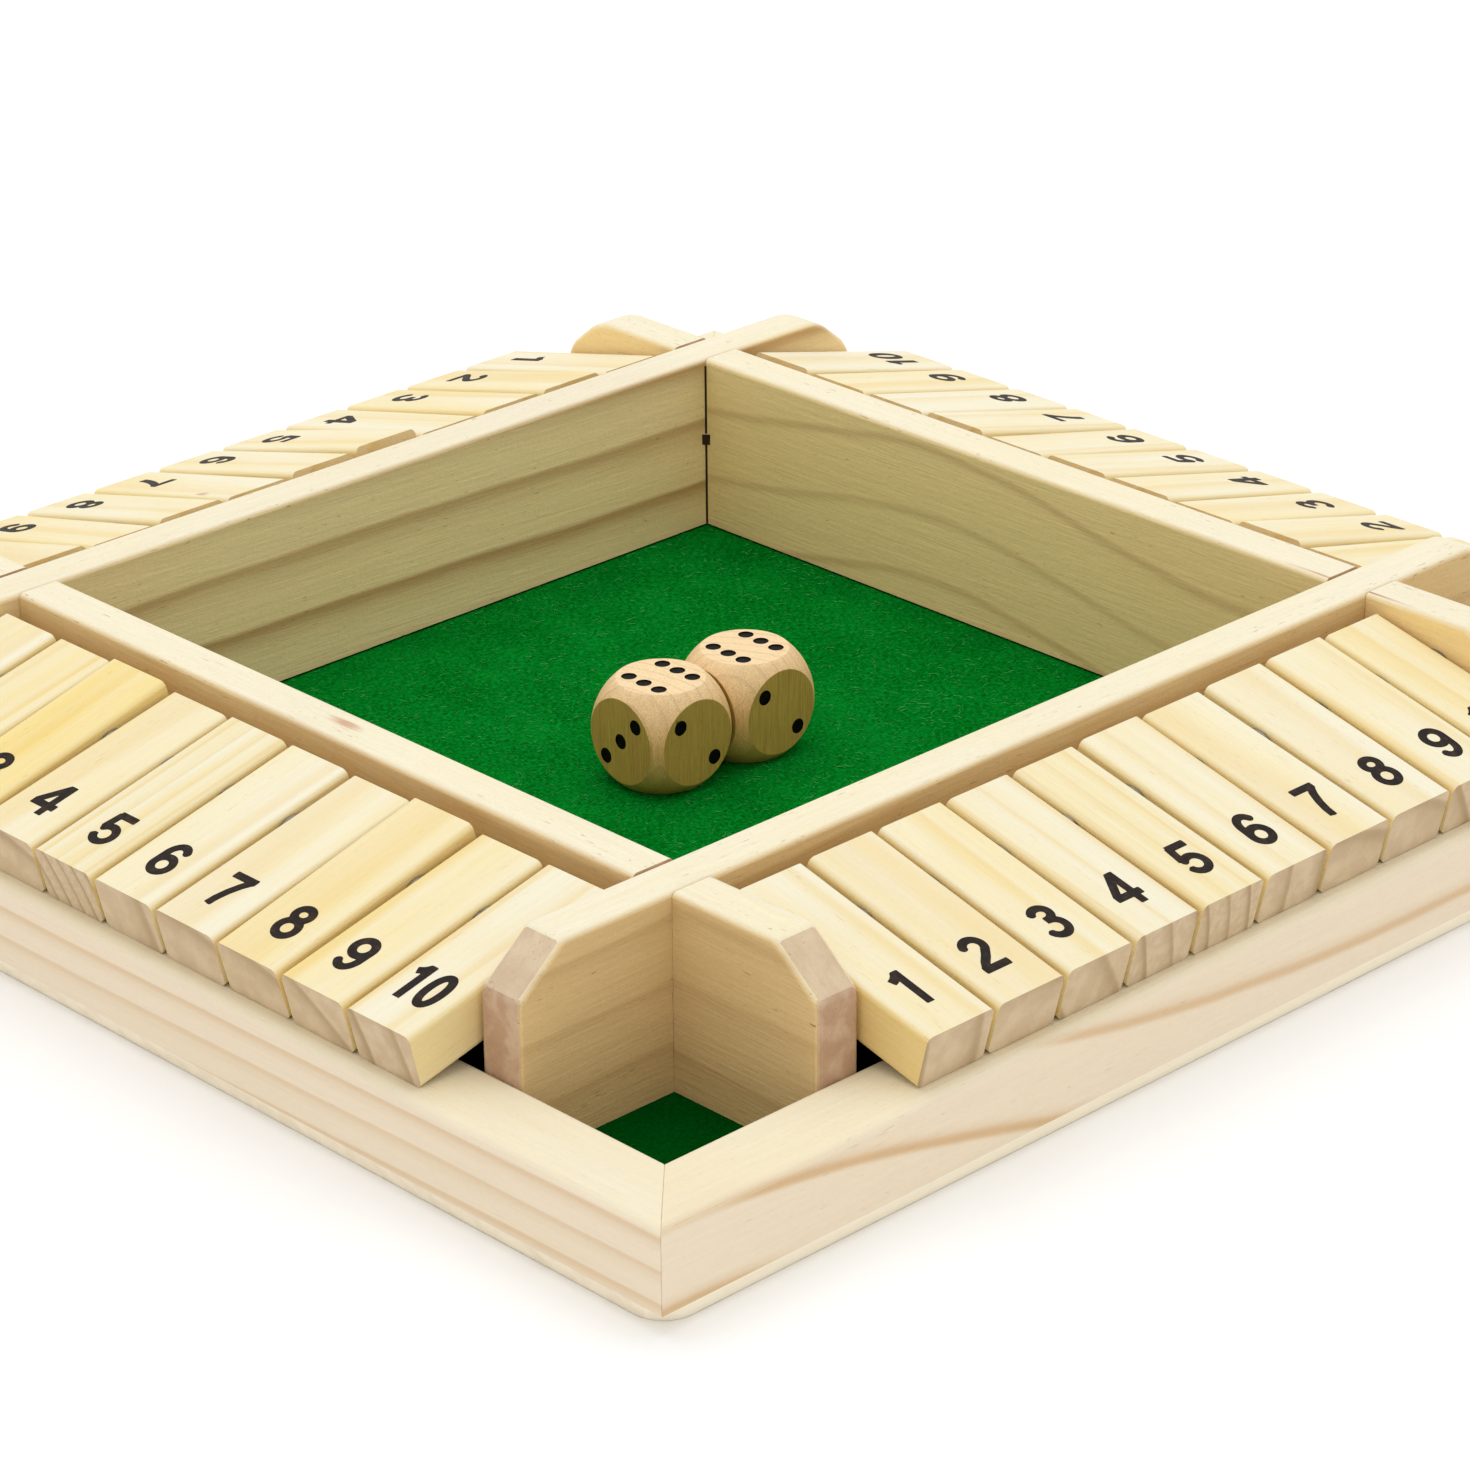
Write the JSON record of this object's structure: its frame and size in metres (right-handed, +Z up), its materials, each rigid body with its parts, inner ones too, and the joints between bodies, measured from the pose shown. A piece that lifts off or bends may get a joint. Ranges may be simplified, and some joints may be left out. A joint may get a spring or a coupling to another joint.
{
  "type": "shut the box game",
  "caption": "Wooden flip-tile dice board: a felt-lined square tray with a row of numbered tiles hinged on a steel rod along each side, a small well at each corner and loose dice.",
  "frame": {"origin": "middle of the underside of the base board, on the surface that it stands on", "axes": "+Z up, -Y towards the front player, +X to that player's right"},
  "size_m": [0.224, 0.224, 0.033],
  "materials": {
    "base_pine": "satin",
    "rail_pine": "satin",
    "divider_pine": "satin",
    "tile_pine": "satin",
    "dice_beech": "satin",
    "green_felt": "matte",
    "rod_steel": "satin",
    "washer_steel": "satin",
    "brad_steel": "satin"
  },
  "bodies": {
    "board": {"base_board": "base_pine", "felt_sheet": "green_felt", "base_brads": "brad_steel", "rail_front": "rail_pine", "rail_left": "rail_pine", "rail_back": "rail_pine", "rail_right": "rail_pine", "divider_front": "divider_pine", "divider_left": "divider_pine", "divider_back": "divider_pine", "divider_right": "divider_pine", "pivot_rod_front": "rod_steel", "pivot_rod_left": "rod_steel", "pivot_rod_back": "rod_steel", "pivot_rod_right": "rod_steel", "rod_washers": "washer_steel"},
    "tile_front_1": {"tile_front_1": "tile_pine"},
    "tile_front_2": {"tile_front_2": "tile_pine"},
    "tile_front_3": {"tile_front_3": "tile_pine"},
    "tile_front_4": {"tile_front_4": "tile_pine"},
    "tile_front_5": {"tile_front_5": "tile_pine"},
    "tile_front_6": {"tile_front_6": "tile_pine"},
    "tile_front_7": {"tile_front_7": "tile_pine"},
    "tile_front_8": {"tile_front_8": "tile_pine"},
    "tile_front_9": {"tile_front_9": "tile_pine"},
    "tile_front_10": {"tile_front_10": "tile_pine"},
    "tile_left_1": {"tile_left_1": "tile_pine"},
    "tile_left_2": {"tile_left_2": "tile_pine"},
    "tile_left_3": {"tile_left_3": "tile_pine"},
    "tile_left_4": {"tile_left_4": "tile_pine"},
    "tile_left_5": {"tile_left_5": "tile_pine"},
    "tile_left_6": {"tile_left_6": "tile_pine"},
    "tile_left_7": {"tile_left_7": "tile_pine"},
    "tile_left_8": {"tile_left_8": "tile_pine"},
    "tile_left_9": {"tile_left_9": "tile_pine"},
    "tile_left_10": {"tile_left_10": "tile_pine"},
    "tile_back_1": {"tile_back_1": "tile_pine"},
    "tile_back_2": {"tile_back_2": "tile_pine"},
    "tile_back_3": {"tile_back_3": "tile_pine"},
    "tile_back_4": {"tile_back_4": "tile_pine"},
    "tile_back_5": {"tile_back_5": "tile_pine"},
    "tile_back_6": {"tile_back_6": "tile_pine"},
    "tile_back_7": {"tile_back_7": "tile_pine"},
    "tile_back_8": {"tile_back_8": "tile_pine"},
    "tile_back_9": {"tile_back_9": "tile_pine"},
    "tile_back_10": {"tile_back_10": "tile_pine"},
    "tile_right_1": {"tile_right_1": "tile_pine"},
    "tile_right_2": {"tile_right_2": "tile_pine"},
    "tile_right_3": {"tile_right_3": "tile_pine"},
    "tile_right_4": {"tile_right_4": "tile_pine"},
    "tile_right_5": {"tile_right_5": "tile_pine"},
    "tile_right_6": {"tile_right_6": "tile_pine"},
    "tile_right_7": {"tile_right_7": "tile_pine"},
    "tile_right_8": {"tile_right_8": "tile_pine"},
    "tile_right_9": {"tile_right_9": "tile_pine"},
    "tile_right_10": {"tile_right_10": "tile_pine"},
    "die_1": {"die_1": "dice_beech"},
    "die_2": {"die_2": "dice_beech"}
  },
  "joints": [
    {"name": "flip_front_1", "type": "hinge", "parent": "board", "child": "tile_front_1", "pos_m": [-0.05895, -0.0865, 0.0248], "axis": [-1, 0, 0], "range_deg": [0, 147.3]},
    {"name": "flip_front_2", "type": "hinge", "parent": "board", "child": "tile_front_2", "pos_m": [-0.04585, -0.0865, 0.0248], "axis": [-1, 0, 0], "range_deg": [0, 147.1]},
    {"name": "flip_front_3", "type": "hinge", "parent": "board", "child": "tile_front_3", "pos_m": [-0.03275, -0.0865, 0.0248], "axis": [-1, 0, 0], "range_deg": [0, 147.3]},
    {"name": "flip_front_4", "type": "hinge", "parent": "board", "child": "tile_front_4", "pos_m": [-0.01965, -0.0865, 0.0248], "axis": [-1, 0, 0], "range_deg": [0, 147.6]},
    {"name": "flip_front_5", "type": "hinge", "parent": "board", "child": "tile_front_5", "pos_m": [-0.00655, -0.0865, 0.0248], "axis": [-1, 0, 0], "range_deg": [0, 147.7]},
    {"name": "flip_front_6", "type": "hinge", "parent": "board", "child": "tile_front_6", "pos_m": [0.00655, -0.0865, 0.0248], "axis": [-1, 0, 0], "range_deg": [0, 147.3]},
    {"name": "flip_front_7", "type": "hinge", "parent": "board", "child": "tile_front_7", "pos_m": [0.01965, -0.0865, 0.0248], "axis": [-1, 0, 0], "range_deg": [0, 147.7]},
    {"name": "flip_front_8", "type": "hinge", "parent": "board", "child": "tile_front_8", "pos_m": [0.03275, -0.0865, 0.0248], "axis": [-1, 0, 0], "range_deg": [0, 147.4]},
    {"name": "flip_front_9", "type": "hinge", "parent": "board", "child": "tile_front_9", "pos_m": [0.04585, -0.0865, 0.0248], "axis": [-1, 0, 0], "range_deg": [0, 147.4]},
    {"name": "flip_front_10", "type": "hinge", "parent": "board", "child": "tile_front_10", "pos_m": [0.05895, -0.0865, 0.0248], "axis": [-1, 0, 0], "range_deg": [0, 147.8]},
    {"name": "flip_left_1", "type": "hinge", "parent": "board", "child": "tile_left_1", "pos_m": [-0.0865, 0.05895, 0.0248], "axis": [0, 1, 0], "range_deg": [0, 147.6]},
    {"name": "flip_left_2", "type": "hinge", "parent": "board", "child": "tile_left_2", "pos_m": [-0.0865, 0.04585, 0.0248], "axis": [0, 1, 0], "range_deg": [0, 147.6]},
    {"name": "flip_left_3", "type": "hinge", "parent": "board", "child": "tile_left_3", "pos_m": [-0.0865, 0.03275, 0.0248], "axis": [0, 1, 0], "range_deg": [0, 146.6]},
    {"name": "flip_left_4", "type": "hinge", "parent": "board", "child": "tile_left_4", "pos_m": [-0.0865, 0.01965, 0.0248], "axis": [0, 1, 0], "range_deg": [0, 147.8]},
    {"name": "flip_left_5", "type": "hinge", "parent": "board", "child": "tile_left_5", "pos_m": [-0.0865, 0.00655, 0.0248], "axis": [0, 1, 0], "range_deg": [0, 147.4]},
    {"name": "flip_left_6", "type": "hinge", "parent": "board", "child": "tile_left_6", "pos_m": [-0.0865, -0.00655, 0.0248], "axis": [0, 1, 0], "range_deg": [0, 147.4]},
    {"name": "flip_left_7", "type": "hinge", "parent": "board", "child": "tile_left_7", "pos_m": [-0.0865, -0.01965, 0.0248], "axis": [0, 1, 0], "range_deg": [0, 147.7]},
    {"name": "flip_left_8", "type": "hinge", "parent": "board", "child": "tile_left_8", "pos_m": [-0.0865, -0.03275, 0.0248], "axis": [0, 1, 0], "range_deg": [0, 146.6]},
    {"name": "flip_left_9", "type": "hinge", "parent": "board", "child": "tile_left_9", "pos_m": [-0.0865, -0.04585, 0.0248], "axis": [0, 1, 0], "range_deg": [0, 147.7]},
    {"name": "flip_left_10", "type": "hinge", "parent": "board", "child": "tile_left_10", "pos_m": [-0.0865, -0.05895, 0.0248], "axis": [0, 1, 0], "range_deg": [0, 147.6]},
    {"name": "flip_back_1", "type": "hinge", "parent": "board", "child": "tile_back_1", "pos_m": [0.05895, 0.0865, 0.0248], "axis": [1, 0, 0], "range_deg": [0, 147.8]},
    {"name": "flip_back_2", "type": "hinge", "parent": "board", "child": "tile_back_2", "pos_m": [0.04585, 0.0865, 0.0248], "axis": [1, 0, 0], "range_deg": [0, 147.4]},
    {"name": "flip_back_3", "type": "hinge", "parent": "board", "child": "tile_back_3", "pos_m": [0.03275, 0.0865, 0.0248], "axis": [1, 0, 0], "range_deg": [0, 147.5]},
    {"name": "flip_back_4", "type": "hinge", "parent": "board", "child": "tile_back_4", "pos_m": [0.01965, 0.0865, 0.0248], "axis": [1, 0, 0], "range_deg": [0, 147.7]},
    {"name": "flip_back_5", "type": "hinge", "parent": "board", "child": "tile_back_5", "pos_m": [0.00655, 0.0865, 0.0248], "axis": [1, 0, 0], "range_deg": [0, 146.6]},
    {"name": "flip_back_6", "type": "hinge", "parent": "board", "child": "tile_back_6", "pos_m": [-0.00655, 0.0865, 0.0248], "axis": [1, 0, 0], "range_deg": [0, 147]},
    {"name": "flip_back_7", "type": "hinge", "parent": "board", "child": "tile_back_7", "pos_m": [-0.01965, 0.0865, 0.0248], "axis": [1, 0, 0], "range_deg": [0, 147.5]},
    {"name": "flip_back_8", "type": "hinge", "parent": "board", "child": "tile_back_8", "pos_m": [-0.03275, 0.0865, 0.0248], "axis": [1, 0, 0], "range_deg": [0, 147.3]},
    {"name": "flip_back_9", "type": "hinge", "parent": "board", "child": "tile_back_9", "pos_m": [-0.04585, 0.0865, 0.0248], "axis": [1, 0, 0], "range_deg": [0, 147.8]},
    {"name": "flip_back_10", "type": "hinge", "parent": "board", "child": "tile_back_10", "pos_m": [-0.05895, 0.0865, 0.0248], "axis": [1, 0, 0], "range_deg": [0, 147.3]},
    {"name": "flip_right_1", "type": "hinge", "parent": "board", "child": "tile_right_1", "pos_m": [0.0865, -0.05895, 0.0248], "axis": [0, -1, 0], "range_deg": [0, 147.7]},
    {"name": "flip_right_2", "type": "hinge", "parent": "board", "child": "tile_right_2", "pos_m": [0.0865, -0.04585, 0.0248], "axis": [0, -1, 0], "range_deg": [0, 147.3]},
    {"name": "flip_right_3", "type": "hinge", "parent": "board", "child": "tile_right_3", "pos_m": [0.0865, -0.03275, 0.0248], "axis": [0, -1, 0], "range_deg": [0, 147.7]},
    {"name": "flip_right_4", "type": "hinge", "parent": "board", "child": "tile_right_4", "pos_m": [0.0865, -0.01965, 0.0248], "axis": [0, -1, 0], "range_deg": [0, 147.5]},
    {"name": "flip_right_5", "type": "hinge", "parent": "board", "child": "tile_right_5", "pos_m": [0.0865, -0.00655, 0.0248], "axis": [0, -1, 0], "range_deg": [0, 147.4]},
    {"name": "flip_right_6", "type": "hinge", "parent": "board", "child": "tile_right_6", "pos_m": [0.0865, 0.00655, 0.0248], "axis": [0, -1, 0], "range_deg": [0, 147.8]},
    {"name": "flip_right_7", "type": "hinge", "parent": "board", "child": "tile_right_7", "pos_m": [0.0865, 0.01965, 0.0248], "axis": [0, -1, 0], "range_deg": [0, 147.3]},
    {"name": "flip_right_8", "type": "hinge", "parent": "board", "child": "tile_right_8", "pos_m": [0.0865, 0.03275, 0.0248], "axis": [0, -1, 0], "range_deg": [0, 147.6]},
    {"name": "flip_right_9", "type": "hinge", "parent": "board", "child": "tile_right_9", "pos_m": [0.0865, 0.04585, 0.0248], "axis": [0, -1, 0], "range_deg": [0, 147.6]},
    {"name": "flip_right_10", "type": "hinge", "parent": "board", "child": "tile_right_10", "pos_m": [0.0865, 0.05895, 0.0248], "axis": [0, -1, 0], "range_deg": [0, 147.3]},
    {"name": "lift_die_1", "type": "slide", "parent": "board", "child": "die_1", "axis": [0, 0, 1], "range_m": [0, 0.06]},
    {"name": "lift_die_2", "type": "slide", "parent": "board", "child": "die_2", "axis": [0, 0, 1], "range_m": [0, 0.06]}
  ]
}
